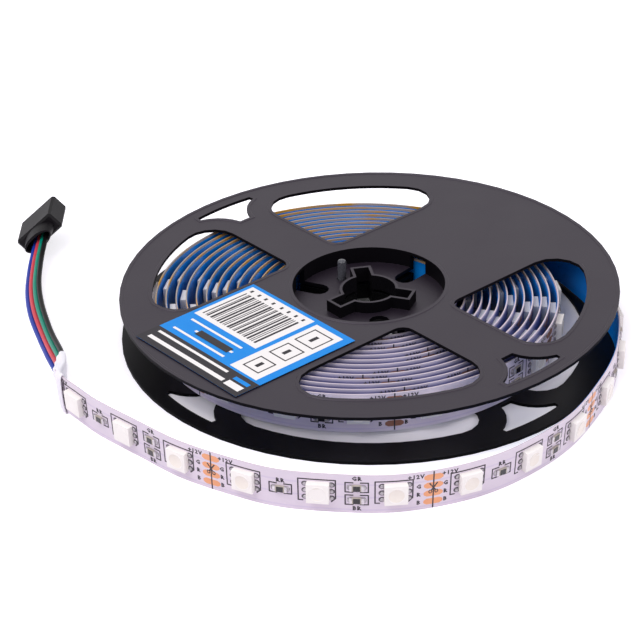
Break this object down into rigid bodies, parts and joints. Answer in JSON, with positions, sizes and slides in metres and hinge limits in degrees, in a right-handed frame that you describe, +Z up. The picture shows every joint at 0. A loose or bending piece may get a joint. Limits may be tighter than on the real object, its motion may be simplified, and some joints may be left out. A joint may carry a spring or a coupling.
{
  "type": "led strip light",
  "caption": "RGB LED strip wound on a black two-part plastic reel, its free end loose on edge round the front with a sleeve, thin wires and a small connector.",
  "frame": {"origin": "middle of the base of the reel and strip together, without the lead wires and connector; the reel's axis stands at x = 7.56 mm, y = 10.41 mm", "axes": "+Z up along the reel's axis, which is the shortest extent; +Y away from the viewer of the picture, the longest extent of reel and strip; +X to the viewer's right"},
  "size_m": [0.1538, 0.1428, 0.0149],
  "materials": {
    "upper_reel_plastic": "satin charcoal polystyrene",
    "lower_reel_plastic": "satin black polystyrene",
    "clear_pin_plastic": "clear plastic, shown grey",
    "label_film": "printed film sticker",
    "strip_board": "white solder mask on flexible board",
    "liner_film": "smooth blue film",
    "led_housing": "warm white moulding",
    "resistor_body": "black glazed chip",
    "sleeve_plastic": "white shrink tube",
    "blue_insulation": "smooth PVC",
    "red_insulation": "smooth PVC",
    "green_insulation": "smooth PVC",
    "black_insulation": "smooth PVC",
    "connector_plastic": "moulded nylon",
    "contact_brass": "bright"
  },
  "bodies": {
    "root": {"reel_upper_half": "upper_reel_plastic", "reel_lower_half": "lower_reel_plastic", "web_pin": "clear_pin_plastic", "label": "label_film", "led_strip": "strip_board", "release_liner": "liner_film", "led_01": "led_housing", "led_02": "led_housing", "led_03": "led_housing", "led_04": "led_housing", "led_05": "led_housing", "led_06": "led_housing", "led_07": "led_housing", "led_08": "led_housing", "led_09": "led_housing", "led_10": "led_housing", "led_11": "led_housing", "led_12": "led_housing", "led_13": "led_housing", "led_14": "led_housing", "led_15": "led_housing", "resistor_r_1": "resistor_body", "resistor_g_1": "resistor_body", "resistor_b_1": "resistor_body", "resistor_r_2": "resistor_body", "resistor_g_2": "resistor_body", "resistor_b_2": "resistor_body", "resistor_r_3": "resistor_body", "resistor_g_3": "resistor_body", "resistor_b_3": "resistor_body", "resistor_r_4": "resistor_body", "resistor_g_4": "resistor_body", "resistor_b_4": "resistor_body", "resistor_r_5": "resistor_body", "resistor_g_5": "resistor_body", "resistor_b_5": "resistor_body", "solder_sleeve": "sleeve_plastic", "wire_blue": "blue_insulation", "wire_red": "red_insulation", "wire_green": "green_insulation", "wire_black": "black_insulation", "connector_housing": "connector_plastic", "contact_1": "contact_brass", "contact_2": "contact_brass", "contact_3": "contact_brass", "contact_4": "contact_brass"}
  },
  "joints": []
}
